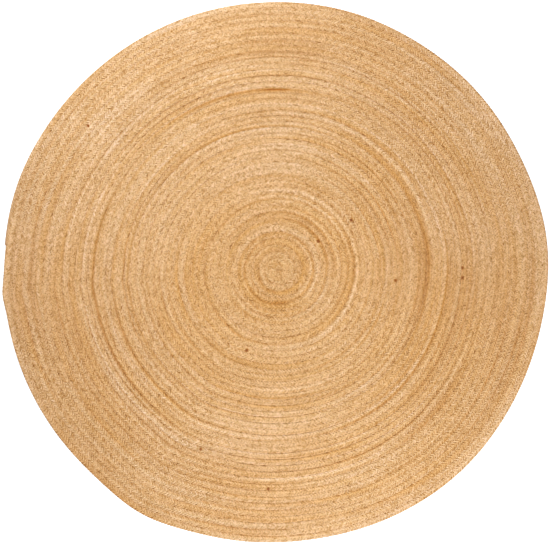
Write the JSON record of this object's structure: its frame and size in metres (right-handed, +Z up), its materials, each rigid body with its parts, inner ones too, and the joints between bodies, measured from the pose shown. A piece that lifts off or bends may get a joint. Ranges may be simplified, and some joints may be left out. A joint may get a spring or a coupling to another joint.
{
  "type": "round braided jute rug",
  "caption": "Round flat rug coiled from one long braid of natural jute, sewn turn to turn, with a softly uneven edge.",
  "frame": {"origin": "on the floor under the middle of the rug's outline", "axes": "+Z up, out of the rug's upper face; +Y towards the top of the rug as it was seen from above, +X to the right; the coil winds outward counter-clockwise seen from above"},
  "size_m": [1.5035, 1.4906, 0.009],
  "materials": {
    "natural_jute": "dry, warm straw-coloured jute with paler and browner streaks along the braid"
  },
  "bodies": {
    "root": {"coiled_braid": "natural_jute"}
  },
  "joints": []
}
